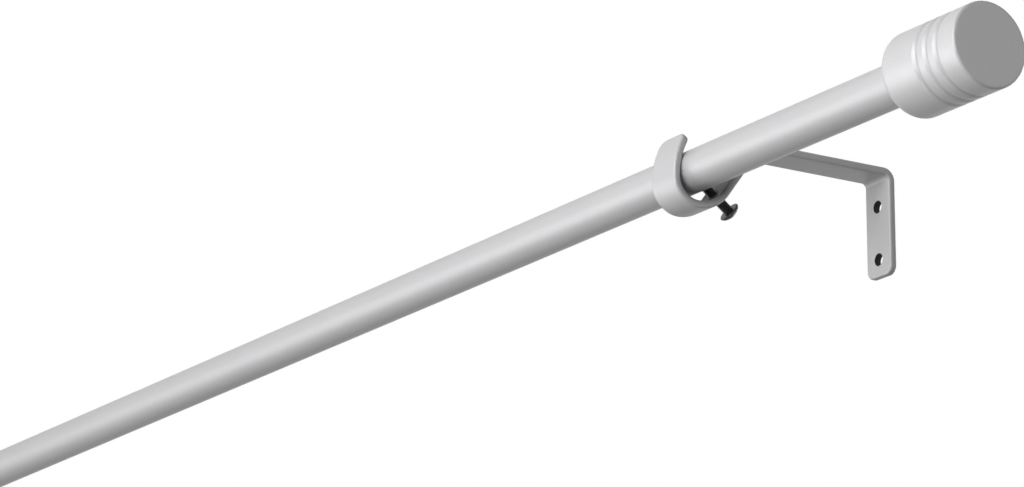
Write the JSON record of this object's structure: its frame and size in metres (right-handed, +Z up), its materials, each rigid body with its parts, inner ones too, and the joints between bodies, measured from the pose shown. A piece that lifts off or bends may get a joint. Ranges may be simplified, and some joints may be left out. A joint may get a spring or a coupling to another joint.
{
  "type": "extendable curtain rod",
  "caption": "Telescoping curtain rod with grooved drum finials, held in bent strip wall brackets with hooks and clamp screws.",
  "frame": {"origin": "midway between the two screw holes of the right bracket, on the wall face of its plate", "axes": "+X along the rod to its right end, +Y out of the plate's back to the wall, +Z up"},
  "size_m": [1.26, 0.1067, 0.0423],
  "materials": {
    "tube_paint": "satin silver-grey paint on steel tube",
    "drum_paint": "satin silver-grey paint on turned aluminium",
    "bracket_paint": "satin silver-grey paint on bent steel strip",
    "black_screw": "black plated steel",
    "white_plastic": "natural moulded plastic"
  },
  "bodies": {
    "right_bracket": {"right_bracket": "bracket_paint"},
    "right_screw": {"right_clamp_screw": "black_screw"},
    "outer_rod": {"outer_tube": "tube_paint"},
    "inner_rod": {"inner_tube": "tube_paint", "tube_glide": "white_plastic"},
    "right_finial": {"right_finial_drum": "drum_paint", "right_finial_plug": "white_plastic"},
    "left_finial": {"left_finial_drum": "drum_paint", "left_finial_plug": "white_plastic"},
    "left_bracket": {"left_bracket": "bracket_paint"},
    "left_screw": {"left_clamp_screw": "black_screw"}
  },
  "joints": [
    {"name": "rod_slide", "type": "slide", "parent": "right_bracket", "child": "outer_rod", "axis": [1, 0, 0], "range_m": [-0.128, 0.128]},
    {"name": "telescope", "type": "slide", "parent": "outer_rod", "child": "inner_rod", "axis": [-1, 0, 0], "range_m": [-0.06, 0.84]},
    {"name": "left_bracket_slide", "type": "slide", "parent": "outer_rod", "child": "left_bracket", "axis": [1, 0, 0], "range_m": [-0.06, 0.6]},
    {"name": "right_finial_pull", "type": "slide", "parent": "outer_rod", "child": "right_finial", "axis": [1, 0, 0], "range_m": [0, 0.03]},
    {"name": "left_finial_pull", "type": "slide", "parent": "inner_rod", "child": "left_finial", "axis": [-1, 0, 0], "range_m": [0, 0.03]},
    {"name": "right_screw_travel", "type": "slide", "parent": "right_bracket", "child": "right_screw", "axis": [0, 0.8039, -0.5948], "range_m": [0, 0.006]},
    {"name": "left_screw_travel", "type": "slide", "parent": "left_bracket", "child": "left_screw", "axis": [0, 0.8039, -0.5948], "range_m": [0, 0.006]}
  ]
}
